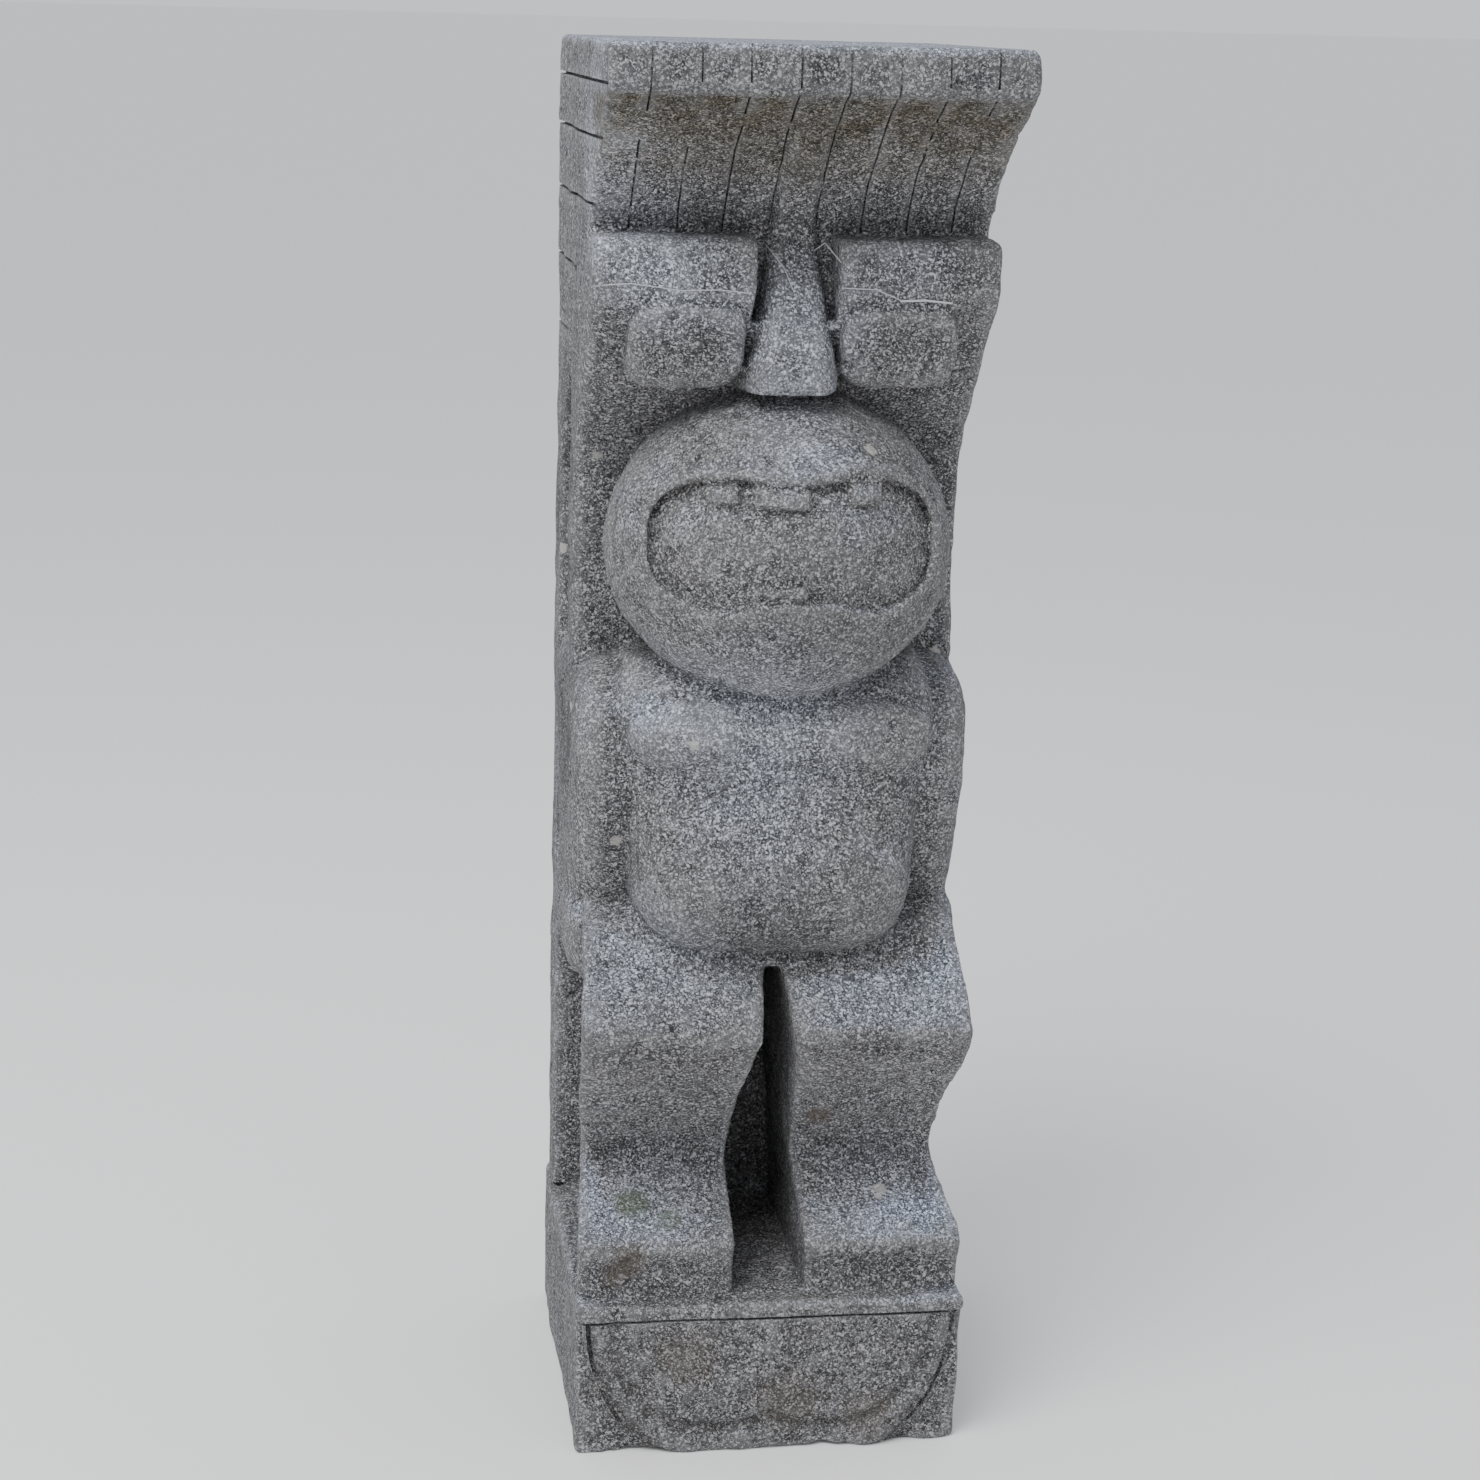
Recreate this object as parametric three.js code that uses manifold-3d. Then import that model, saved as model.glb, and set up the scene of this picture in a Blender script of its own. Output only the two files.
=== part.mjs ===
// Carved stone tiki statue: one block with a slab headdress, a square-eyed face over a ball muzzle,
// a standing body with its arms down, and a square foot block. Millimetres, z up, front towards -y.
import * as THREE from "three";
import { mergeVertices } from "three/addons/utils/BufferGeometryUtils.js";
import Module from "manifold-3d";

const wasm = await Module();
wasm.setup();

// Driving sizes of the block. A depth is counted forward from the flat back.
const HEIGHT = 1500;
const DEPTH = 534;
const HALF_WIDTH = 207.5;
const EDGE = 9;

// Every place on the figure is a share of the block, in thousandths of its own size.
const SHARE = 1000;
const tall = (share) => (share * HEIGHT) / SHARE;
const deep = (share) => (share * DEPTH) / SHARE;
const wide = (share) => (share * HALF_WIDTH) / SHARE;

const PANEL_DEPTH = deep(134.8);

// Headdress: a slab at the top and a cove that sweeps back under it to the panel.
const SLAB_UNDERSIDE = tall(968.7);
const COVE_START = deep(983.1);
const COVE_UPPER_PULL = { depth: deep(721), z: tall(924) };
const COVE_MIDDLE = { depth: deep(646.1), z: tall(873.3) };
const COVE_LOWER_PULL = { depth: deep(309), z: tall(825.3) };
const COVE_END = tall(693.3);
const KERF_WIDTH = 4;
const KERF_DEPTH = 7;
const KERF_COUNT = 8;
const KERF_PITCH = wide(229.3);
const SIDE_KERF_DEPTH = 5;
const SIDE_KERFS = [
  { z: tall(973.3), reach: deep(985) },
  { z: tall(937.3), reach: deep(824) },
  { z: tall(892), reach: deep(685.4) },
  { z: tall(842.7), reach: deep(449.4) },
  { z: tall(791.3), reach: deep(224.7) },
];

// Face block: the brow, and the cheeks that slope back to the core behind the muzzle.
const FACE_HALF = wide(1004.9);
const BROW_TOP = tall(872.7);
const BROW_DEPTH = deep(764);
const BROW_FOOT = tall(832);
const CHEEK_HIGH = { depth: deep(689.1), z: tall(804) };
const CHEEK_MIDDLE = { depth: deep(588), z: tall(764) };
const CHEEK_LOW = { depth: deep(486.9), z: tall(730.7) };
const CORE_DEPTH = deep(449.4);
const CORE_TOP = tall(704);
const CORE_FOOT = tall(560);
const BROW_ROUND = 2 * EDGE;
const CORE_ROUND = 4 * EDGE;
const UNDERCUT_FRONT = deep(346.4);
const UNDERCUT_HALF = wide(858.5);
const BROW_GAP_TOP = wide(195.1);
const BROW_GAP_FOOT = wide(219.5);
const BROW_GAP_LOW = tall(814.7);
const BROW_GAP_DEPTH = deep(655.4);

// Eyes: two raised blocks with rounded corners.
const EYE_CENTRE = wide(531.7);
const EYE_HALF = wide(287.8);
const EYE_FOOT = tall(771.3);
const EYE_TOP = tall(826.7);
const EYE_DEPTH = deep(773.4);
const EYE_CORNER = 28;
const EYE_LEAN = 0.4;

// Nose stations from its flared base up to the bridge, and the ridge above it on the cove.
const NOSE = [
  { z: tall(767.4), half: wide(241), front: deep(756.6) },
  { z: tall(774.7), half: wide(241), front: deep(765.9) },
  { z: tall(793.3), half: wide(216.9), front: deep(762.2) },
  { z: tall(811.3), half: wide(185.5), front: deep(752.8) },
  { z: tall(841.3), half: wide(159), front: deep(719.1) },
  { z: tall(866.7), half: wide(144.6), front: deep(689.1) },
  { z: tall(886.7), half: wide(130.1), front: deep(677.9) },
];
const NOSE_ROOT = deep(374.5);
const RIDGE_HALF = wide(97.6);
const RIDGE_BACK = 4 * EDGE;
const RIDGE_BLEND = 3;
const RIDGE_RISE = deep(28.1);

// Muzzle: a ball with a shallow mouth sunk into it.
const BALL = { depth: deep(582.4), z: tall(656.7), x: wide(878), y: deep(327.7), up: tall(110) };
const BALL_ROUND = 40;
const BALL_RINGS = 26;
const MOUTH_Z = tall(668.7);
const MOUTH_HALF = wide(717.1);
const MOUTH_UP = tall(48.7);
const MOUTH_DOWN = tall(48.7);
const MOUTH_SQUARENESS = 2.9;
const LIP_RISE = tall(13.3);
const LIP_RISE_HALF = wide(302.4);
const LIP_DIP = tall(5.3);
const LIP_DIP_HALF = wide(224.4);
const MOUTH_FLOOR = 0.937;
const TOOTH_FACE = 0.975;
const FLOOR_DROP = tall(2.7);
const TEETH = [
  { from: wide(-439), to: wide(-302.4), low: tall(698.7), high: tall(733.3) },
  { from: wide(-219.5), to: wide(34.1), low: tall(698), high: tall(733.3) },
  { from: wide(243.9), to: wide(419.5), low: tall(699.3), high: tall(733.3) },
  { from: wide(-224.4), to: wide(29.3), low: tall(610), high: tall(644) },
];

// Body stations from the foot of the belly up to the shoulders.
const BODY = [
  { z: tall(360.7), half: wide(419.5), front: deep(636.7) },
  { z: tall(366.7), half: wide(546.3), front: deep(681.6) },
  { z: tall(378.7), half: wide(653.7), front: deep(728.5) },
  { z: tall(400), half: wide(717.1), front: deep(764) },
  { z: tall(426.7), half: wide(736.6), front: deep(771.5) },
  { z: tall(460), half: wide(761), front: deep(749.1) },
  { z: tall(492), half: wide(804.9), front: deep(726.6) },
  { z: tall(514.7), half: wide(829.3), front: deep(747.2) },
  { z: tall(538.7), half: wide(834.1), front: deep(745.3) },
  { z: tall(558.7), half: wide(819.5), front: deep(707.9) },
  { z: tall(574.7), half: wide(770.7), front: deep(636.7) },
];
const BODY_BACK = deep(217.2);
const BODY_SQUARENESS = 4.2;
const SPINE = { half: wide(673.2), depth: deep(393.3), top: tall(570.7) };
const CHEST_SWELL = {
  centre: wide(409.8),
  depth: deep(691),
  z: tall(526.7),
  x: wide(378),
  y: deep(81),
  up: tall(30),
};
const SWELL_ROUND = 22;
const SWELL_RINGS = 14;

// Arm stations from the fist up to the shoulder. An arm is set back beside the body.
const ARM = [
  { z: tall(324.7), outer: wide(907.3), front: deep(434.5) },
  { z: tall(330.7), outer: wide(990.2), front: deep(531.8) },
  { z: tall(346.7), outer: wide(1034.1), front: deep(595.5) },
  { z: tall(373.3), outer: wide(1034.1), front: deep(603) },
  { z: tall(389.3), outer: wide(1004.9), front: deep(539.3) },
  { z: tall(401.3), outer: wide(1009.8), front: deep(558.1) },
  { z: tall(443.3), outer: wide(1024.4), front: deep(618) },
  { z: tall(500), outer: wide(1034.1), front: deep(662.9) },
  { z: tall(538.7), outer: wide(1034.1), front: deep(636.7) },
  { z: tall(558.7), outer: wide(995.1), front: deep(573) },
  { z: tall(568.7), outer: wide(917.1), front: deep(501.9) },
];
const ARM_INNER = wide(487.8);
const ARM_BACK = deep(112.4);
const ARM_SQUARENESS = 4.8;

// Legs: one side profile across the block, parted by a slot and undercut behind.
const LEG_HALF = wide(1004.9);
const THIGH_TOP = tall(396);
const LEG_FRONT = [
  { depth: deep(524.3), z: tall(396) },
  { depth: deep(625.5), z: tall(381.3) },
  { depth: deep(692.9), z: tall(354.7) },
  { depth: deep(752.8), z: tall(338) },
  { depth: deep(792.1), z: tall(322.7) },
  { depth: deep(801.5), z: tall(313.3) },
  { depth: deep(786.5), z: tall(304) },
  { depth: deep(756.6), z: tall(289.3) },
  { depth: deep(711.6), z: tall(274) },
  { depth: deep(659.2), z: tall(256.7) },
  { depth: deep(625.5), z: tall(240) },
  { depth: deep(593.6), z: tall(225.3) },
  { depth: deep(567.4), z: tall(212) },
  { depth: deep(554.3), z: tall(201.3) },
  { depth: deep(561.8), z: tall(194) },
  { depth: deep(586.1), z: tall(187.3) },
  { depth: deep(621.7), z: tall(179.3) },
  { depth: deep(662.9), z: tall(171.3) },
  { depth: deep(711.6), z: tall(164) },
  { depth: deep(749.1), z: tall(157.3) },
  { depth: deep(764), z: tall(149.3) },
  { depth: deep(752.8), z: tall(137.3) },
  { depth: deep(747.2), z: tall(129.3) },
  { depth: deep(754.2), z: tall(110) },
];
const LEG_BACK_HALF = wide(819.5);
const LEG_SIDE_FRONT = deep(745.3);
const SLOT_BACK = deep(239.7);
const SLOT = [
  { z: tall(356), half: wide(43.9) },
  { z: tall(333.3), half: wide(78) },
  { z: tall(290.7), half: wide(122) },
  { z: tall(240), half: wide(156.1) },
  { z: tall(190), half: wide(175.6) },
  { z: tall(114), half: wide(200) },
];

// Foot block: a strip along the top and a round-bottomed field below it with two lobes.
const BASE_HALF = wide(1019.5);
const BASE_DEPTH = deep(809);
const BASE_TOP = tall(114);
const STRIP_FOOT = tall(103.3);
const STRIP_GROOVE = 7;
const FIELD_RADIUS = wide(975.6);
const FIELD_DROP = tall(133.3);
const FIELD_STEP = 9;
const LOBE = { centre: wide(291.6), z: tall(95.3), half: wide(563.9), drop: tall(79.3) };
const LOBE_GROOVE = 5;
const LOBE_GROOVE_DEPTH = 6;

const STONE = 0x7b7f80;
const STEPS = 3;
const RING = 26;
const ARC = 40;
const CORNER_STEPS = 3;
const COVE_STEPS = 8;
const OVERRUN = 8;
const SHORTEST_EDGE = 0.05;

const backY = DEPTH / 2;

// A geometry as a solid that can be joined and cut.
function solid(geometry) {
  geometry.deleteAttribute("normal");
  geometry.deleteAttribute("uv");
  const merged = mergeVertices(geometry, 1e-3);
  return new wasm.Manifold(
    new wasm.Mesh({
      numProp: 3,
      vertProperties: merged.attributes.position.array,
      triVerts: new Uint32Array(merged.index.array),
    }),
  );
}

function extruded(outline, length, bevel) {
  return new THREE.ExtrudeGeometry(new THREE.Shape(outline), {
    depth: length - 2 * bevel,
    bevelEnabled: bevel > 0,
    bevelThickness: bevel,
    bevelSize: bevel,
    bevelOffset: -bevel,
    bevelSegments: 2,
    steps: 1,
  }).translate(0, 0, bevel - length / 2);
}

// A side outline of (depth, z) points drawn out across the block.
function across(outline, half, bevel = 0) {
  const turn = new THREE.Matrix4().makeBasis(
    new THREE.Vector3(0, -1, 0),
    new THREE.Vector3(0, 0, 1),
    new THREE.Vector3(-1, 0, 0),
  );
  return solid(extruded(outline, 2 * half, bevel).applyMatrix4(turn).translate(0, backY, 0));
}

// A front outline of (x, z) points drawn out from one depth to another.
function forward(outline, from, to, bevel = 0) {
  const turn = new THREE.Matrix4().makeBasis(
    new THREE.Vector3(1, 0, 0),
    new THREE.Vector3(0, 0, 1),
    new THREE.Vector3(0, -1, 0),
  );
  const middle = backY - (from + to) / 2;
  return solid(extruded(outline, to - from, bevel).applyMatrix4(turn).translate(0, middle, 0));
}

// A plan outline of (x, depth) points drawn out from one height to another.
function upright(outline, from, to, bevel = 0) {
  const turned = outline.map((p) => new THREE.Vector2(p.x, backY - p.y));
  return solid(extruded(turned, to - from, bevel).translate(0, 0, (from + to) / 2));
}

function block(xFrom, xTo, depthFrom, depthTo, zFrom, zTo) {
  const box = new THREE.BoxGeometry(xTo - xFrom, depthTo - depthFrom, zTo - zFrom);
  return solid(
    box.translate((xFrom + xTo) / 2, backY - (depthFrom + depthTo) / 2, (zFrom + zTo) / 2),
  );
}

const at = (depth, z) => new THREE.Vector2(depth, z);

// A rounded corner between two points of an outline, as a few points on a curve.
function corner(before, tip, after, steps = CORNER_STEPS) {
  return new THREE.QuadraticBezierCurve(before, tip, after).getPoints(steps);
}

// Values of stations read at closer heights on a smooth curve.
function smoothStations(stations, keys) {
  const count = (stations.length - 1) * STEPS;
  const heights = stations.map((s, i) => new THREE.Vector2(i, s.z));
  const heightCurve = new THREE.SplineCurve(heights);
  const curves = keys.map((key) => {
    const points = stations.map((s, i) => new THREE.Vector2(i, s[key]));
    return new THREE.SplineCurve(points);
  });
  return Array.from({ length: count + 1 }, (_, i) => {
    const share = i / count;
    const read = { z: heightCurve.getPoint(share).y };
    keys.forEach((key, j) => (read[key] = curves[j].getPoint(share).y));
    return read;
  });
}

// A ring of points: an ellipse squared off towards a rectangle.
function squaredRing(z, centreX, halfX, backDepth, frontDepth, squareness) {
  const power = 2 / squareness;
  const middle = (backDepth + frontDepth) / 2;
  const halfDepth = (frontDepth - backDepth) / 2;
  return Array.from({ length: RING }, (_, i) => {
    const turn = (2 * Math.PI * (i + 0.5)) / RING;
    const c = Math.cos(turn);
    const s = Math.sin(turn);
    const x = centreX + halfX * Math.sign(c) * Math.abs(c) ** power;
    const depth = middle - halfDepth * Math.sign(s) * Math.abs(s) ** power;
    return [x, backY - depth, z];
  });
}

// A closed body through rings that climb in z, with a flat cap at each end.
function loft(rings) {
  const points = rings.flat(2);
  const n = rings[0].length;
  const faces = [];
  for (let r = 0; r + 1 < rings.length; r += 1) {
    for (let i = 0; i < n; i += 1) {
      const a = r * n + i;
      const b = r * n + ((i + 1) % n);
      faces.push(a, b, b + n, a, b + n, a + n);
    }
  }
  const last = (rings.length - 1) * n;
  for (let i = 1; i + 1 < n; i += 1) {
    faces.push(0, i + 1, i, last, last + i, last + i + 1);
  }
  const geometry = new THREE.BufferGeometry();
  geometry.setAttribute("position", new THREE.Float32BufferAttribute(points, 3));
  geometry.setIndex(faces);
  return solid(geometry);
}

function united(parts) {
  return parts.reduce((whole, part) => whole.add(part));
}

// The cove as points from under the slab down to the panel.
const coveUpper = new THREE.QuadraticBezierCurve(
  at(COVE_START, SLAB_UNDERSIDE),
  at(COVE_UPPER_PULL.depth, COVE_UPPER_PULL.z),
  at(COVE_MIDDLE.depth, COVE_MIDDLE.z),
).getPoints(COVE_STEPS);
const coveLower = new THREE.QuadraticBezierCurve(
  at(COVE_MIDDLE.depth, COVE_MIDDLE.z),
  at(COVE_LOWER_PULL.depth, COVE_LOWER_PULL.z),
  at(PANEL_DEPTH, COVE_END),
).getPoints(COVE_STEPS);

// Panel and headdress in one side profile.
function panelAndHeaddress() {
  const outline = [
    at(0, EDGE),
    ...corner(at(0, HEIGHT - EDGE), at(0, HEIGHT), at(EDGE, HEIGHT)),
    ...corner(at(DEPTH - EDGE, HEIGHT), at(DEPTH, HEIGHT), at(DEPTH, HEIGHT - EDGE)),
    ...corner(
      at(DEPTH, SLAB_UNDERSIDE + EDGE),
      at(DEPTH, SLAB_UNDERSIDE),
      at(COVE_START, SLAB_UNDERSIDE),
    ),
    ...coveUpper.slice(1),
    ...coveLower.slice(1),
    at(PANEL_DEPTH, EDGE),
  ];
  return across(outline.reverse(), HALF_WIDTH, EDGE / 2);
}

// A thin band that follows the top, the slab front and the cove: the shape one saw cut takes out.
function kerfBand() {
  const path = [
    at(-OVERRUN, HEIGHT),
    at(DEPTH, HEIGHT),
    at(DEPTH, SLAB_UNDERSIDE),
    ...coveUpper,
  ];
  const shifted = (distance) =>
    path.map((p, i) => {
      const into = p.clone().sub(path[Math.max(i - 1, 0)]).normalize();
      const out = path[Math.min(i + 1, path.length - 1)].clone().sub(p).normalize();
      const along = into.add(out).normalize();
      return at(p.x - along.y * distance, p.y + along.x * distance);
    });
  return [...shifted(OVERRUN), ...shifted(-KERF_DEPTH).reverse()];
}

function verticalKerfs() {
  const band = kerfBand().reverse();
  const first = (-(KERF_COUNT - 1) / 2) * KERF_PITCH;
  return united(
    Array.from({ length: KERF_COUNT }, (_, i) =>
      across(band, KERF_WIDTH / 2).translate([first + i * KERF_PITCH, 0, 0]),
    ),
  );
}

function sideKerfs() {
  const cuts = SIDE_KERFS.flatMap(({ z, reach }) =>
    [-1, 1].map((side) => {
      const inner = side * (HALF_WIDTH - SIDE_KERF_DEPTH);
      const outer = side * (HALF_WIDTH + SIDE_KERF_DEPTH);
      const low = z - KERF_WIDTH / 2;
      return block(Math.min(inner, outer), Math.max(inner, outer), -OVERRUN, reach, low, low + KERF_WIDTH);
    }),
  );
  return united(cuts);
}

// A wedge cut out of both sides behind a figure, so that it stands clear of the panel.
function sideUndercuts(frontDepth, backHalf, half, from, to) {
  const outside = half + EDGE;
  const slope = (half - backHalf) / (frontDepth - PANEL_DEPTH);
  const tipDepth = frontDepth + EDGE / slope;
  const outline = [at(backHalf, PANEL_DEPTH), at(outside, PANEL_DEPTH), at(outside, tipDepth)];
  const right = upright(outline.reverse(), from, to);
  return right.add(right.mirror([1, 0, 0]));
}

function faceBlock() {
  const inside = PANEL_DEPTH - EDGE;
  const outline = [
    at(inside, CORE_FOOT),
    at(inside, BROW_TOP),
    ...corner(
      at(BROW_DEPTH - BROW_ROUND, BROW_TOP),
      at(BROW_DEPTH, BROW_TOP),
      at(BROW_DEPTH, BROW_TOP - BROW_ROUND),
    ),
    ...corner(
      at(BROW_DEPTH, BROW_FOOT + EDGE),
      at(BROW_DEPTH, BROW_FOOT),
      at(BROW_DEPTH - EDGE, BROW_FOOT - EDGE),
    ),
    at(CHEEK_HIGH.depth, CHEEK_HIGH.z),
    at(CHEEK_MIDDLE.depth, CHEEK_MIDDLE.z),
    ...corner(
      at(CHEEK_LOW.depth, CHEEK_LOW.z),
      at(CORE_DEPTH, CORE_TOP),
      at(CORE_DEPTH, CORE_TOP - CORE_ROUND),
    ),
    at(CORE_DEPTH, CORE_FOOT),
  ];
  const whole = across(outline.reverse(), FACE_HALF, EDGE);
  const gap = forward(
    [
      at(-BROW_GAP_TOP, BROW_TOP + EDGE),
      at(-BROW_GAP_FOOT, BROW_FOOT),
      at(-BROW_GAP_FOOT, BROW_GAP_LOW),
      at(BROW_GAP_FOOT, BROW_GAP_LOW),
      at(BROW_GAP_FOOT, BROW_FOOT),
      at(BROW_GAP_TOP, BROW_TOP + EDGE),
    ],
    BROW_GAP_DEPTH,
    DEPTH,
  );
  return whole
    .subtract(gap)
    .subtract(sideUndercuts(UNDERCUT_FRONT, UNDERCUT_HALF, FACE_HALF, CORE_FOOT - EDGE, HEIGHT));
}

function eyes() {
  const [l, r] = [EYE_CENTRE - EYE_HALF, EYE_CENTRE + EYE_HALF];
  const c = EYE_CORNER;
  const outline = [
    ...corner(at(l, EYE_FOOT + c), at(l, EYE_FOOT), at(l + c, EYE_FOOT)),
    ...corner(at(r - c, EYE_FOOT), at(r, EYE_FOOT), at(r, EYE_FOOT + c)),
    ...corner(at(r, EYE_TOP - c), at(r, EYE_TOP), at(r - c, EYE_TOP)),
    ...corner(at(l + c, EYE_TOP), at(l, EYE_TOP), at(l, EYE_TOP - c)),
  ];
  const straight = forward(outline, CORE_DEPTH, EYE_DEPTH, EDGE);
  const lean = [1, 0, 0, 0, 0, 1, 0, 0, 0, -EYE_LEAN, 1, 0, 0, EYE_LEAN * EYE_TOP, 0, 1];
  const right = straight.transform(lean);
  return right.add(right.mirror([1, 0, 0]));
}

function nose() {
  const rings = smoothStations(NOSE, ["half", "front"]).map((s) =>
    squaredRing(s.z, 0, s.half, NOSE_ROOT, s.front, BODY_SQUARENESS),
  );
  const rise = (i) => (RIDGE_RISE * Math.min(i, RIDGE_BLEND)) / RIDGE_BLEND;
  const proud = coveUpper.map((p, i) => at(p.x + rise(i), p.y));
  const band = [...proud, ...coveUpper.map((p) => at(p.x - RIDGE_BACK, p.y)).reverse()];
  return loft(rings).add(across(band.reverse(), RIDGE_HALF, EDGE / 2));
}

function ball(size) {
  return solid(
    new THREE.SphereGeometry(1, BALL_ROUND, BALL_RINGS)
      .rotateX(Math.PI / 2)
      .rotateZ(Math.PI / BALL_ROUND)
      .scale(BALL.x * size, BALL.y * size, BALL.up * size)
      .translate(0, backY - BALL.depth, BALL.z),
  );
}

// The mouth seen from the front: squared-off, with a rise in the middle of the lower lip.
function mouthOutline() {
  const power = 2 / MOUTH_SQUARENESS;
  return Array.from({ length: ARC }, (_, i) => {
    const turn = (2 * Math.PI * i) / ARC;
    const c = Math.cos(turn);
    const s = Math.sin(turn);
    const x = MOUTH_HALF * Math.sign(c) * Math.abs(c) ** power;
    const reach = s > 0 ? MOUTH_UP : MOUTH_DOWN;
    const rise = s < 0 ? LIP_RISE * Math.exp(-((x / LIP_RISE_HALF) ** 4)) : 0;
    const dip = s > 0 ? LIP_DIP * Math.exp(-((x / LIP_DIP_HALF) ** 4)) : 0;
    return at(x, MOUTH_Z + reach * Math.sign(s) * Math.abs(s) ** power + rise - dip);
  });
}

function muzzle() {
  const opening = forward(mouthOutline(), BALL.depth, DEPTH);
  const teeth = united(
    TEETH.map(({ from, to, low, high }) =>
      forward([at(from, low), at(to, low), at(to, high), at(from, high)], BALL.depth, DEPTH),
    ),
  ).intersect(ball(TOOTH_FACE).translate([0, 0, -FLOOR_DROP]));
  const floor = ball(MOUTH_FLOOR).translate([0, 0, -FLOOR_DROP]);
  return ball(1).subtract(opening.subtract(floor)).add(teeth.intersect(opening).intersect(ball(1)));
}

// The two low swells of the chest.
function chestSwells() {
  const right = solid(
    new THREE.SphereGeometry(1, SWELL_ROUND, SWELL_RINGS)
      .rotateX(Math.PI / 2)
      .scale(CHEST_SWELL.x, CHEST_SWELL.y, CHEST_SWELL.up)
      .translate(CHEST_SWELL.centre, backY - CHEST_SWELL.depth, CHEST_SWELL.z),
  );
  return right.add(right.mirror([1, 0, 0]));
}

function body() {
  return loft(
    smoothStations(BODY, ["half", "front"]).map((s) =>
      squaredRing(s.z, 0, s.half, BODY_BACK, s.front, BODY_SQUARENESS),
    ),
  ).add(
    block(-SPINE.half, SPINE.half, PANEL_DEPTH - EDGE, SPINE.depth, THIGH_TOP - EDGE, SPINE.top),
  ).add(chestSwells());
}

function arms() {
  const rings = smoothStations(ARM, ["outer", "front"]).map((s) => {
    const middle = (s.outer + ARM_INNER) / 2;
    return squaredRing(s.z, middle, s.outer - middle, ARM_BACK, s.front, ARM_SQUARENESS);
  });
  const right = loft(rings);
  return right.add(right.mirror([1, 0, 0]));
}

function legs() {
  const inside = PANEL_DEPTH - EDGE;
  const front = new THREE.SplineCurve(LEG_FRONT.map((p) => at(p.depth, p.z)));
  const outline = [
    at(inside, BASE_TOP - EDGE),
    at(inside, THIGH_TOP),
    ...front.getPoints((LEG_FRONT.length - 1) * STEPS),
  ];
  const whole = across(outline.reverse(), LEG_HALF, EDGE / 2);
  const left = SLOT.map((s) => at(-s.half, s.z));
  const right = SLOT.map((s) => at(s.half, s.z)).reverse();
  const slot = forward([...left, ...right], SLOT_BACK, DEPTH);
  return whole
    .subtract(slot)
    .subtract(sideUndercuts(LEG_SIDE_FRONT, LEG_BACK_HALF, LEG_HALF, BASE_TOP - EDGE, THIGH_TOP + EDGE));
}

// Points on the lower part of an ellipse in the front view, from its left end to its right end.
function lowerArc(centreX, centreZ, half, drop, count) {
  return Array.from({ length: count + 1 }, (_, i) => {
    const turn = Math.PI + (Math.PI * i) / count;
    return at(centreX + half * Math.cos(turn), centreZ + drop * Math.sin(turn));
  });
}

function base() {
  const whole = upright(
    [at(-BASE_HALF, 0), at(-BASE_HALF, BASE_DEPTH), at(BASE_HALF, BASE_DEPTH), at(BASE_HALF, 0)],
    0,
    BASE_TOP,
    EDGE / 2,
  );
  const strip = block(
    -BASE_HALF - OVERRUN,
    BASE_HALF + OVERRUN,
    BASE_DEPTH - STRIP_GROOVE,
    BASE_DEPTH + OVERRUN,
    STRIP_FOOT - KERF_WIDTH / 2,
    STRIP_FOOT + KERF_WIDTH / 2,
  );
  const field = forward(
    lowerArc(0, STRIP_FOOT, FIELD_RADIUS, FIELD_DROP, ARC),
    0,
    DEPTH,
  );
  const below = block(
    -BASE_HALF - OVERRUN,
    BASE_HALF + OVERRUN,
    BASE_DEPTH - FIELD_STEP,
    BASE_DEPTH + OVERRUN,
    -OVERRUN,
    STRIP_FOOT,
  ).subtract(field);
  const lobes = (inset, depth) =>
    united(
      [-1, 1].map((side) =>
        forward(
          lowerArc(side * LOBE.centre, LOBE.z, LOBE.half - inset, LOBE.drop - inset, ARC / 2),
          BASE_DEPTH - depth,
          DEPTH,
        ),
      ),
    );
  const groove = lobes(0, LOBE_GROOVE_DEPTH).subtract(
    lobes(LOBE_GROOVE, LOBE_GROOVE_DEPTH + OVERRUN),
  );
  return whole.subtract(strip).subtract(below).subtract(groove);
}

const statue = united([
  panelAndHeaddress(),
  faceBlock(),
  eyes(),
  nose(),
  muzzle(),
  body(),
  arms(),
  legs(),
  base(),
])
  .subtract(verticalKerfs())
  .subtract(sideKerfs())
  .simplify(SHORTEST_EDGE);

const made = statue.getMesh();
const geometry = new THREE.BufferGeometry();
geometry.setAttribute("position", new THREE.BufferAttribute(made.vertProperties, 3));
geometry.setIndex(new THREE.BufferAttribute(made.triVerts, 1));
geometry.computeVertexNormals();

const mesh = new THREE.Mesh(
  geometry,
  new THREE.MeshStandardMaterial({ color: STONE, roughness: 0.95, metalness: 0 }),
);
mesh.name = "tiki_statue";

const group = new THREE.Group();
group.add(mesh);
export default group;
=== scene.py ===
# %% [markdown]
# # A carved tiki statue in grey lava stone
# The real one is a single block of andesite. A carver squared the block, sawed the grooves of the
# headdress, roughed the figure out with a point and left the surface as the chisel left it. Years of
# rain have rounded the edges, opened small pits and browned the places that the rain doesn't reach.
#
# The frame gives the exact solid, in metres, with z up and the face towards -y. It already has the
# true outline, so this lesson doesn't model the figure again. It wears that solid down: a fine skin
# is wrapped over it, weathered, cut and then coloured.

import math

import bmesh
import bpy
import numpy as np
from mathutils import Matrix, Vector
from mathutils.bvhtree import BVHTree


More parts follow.
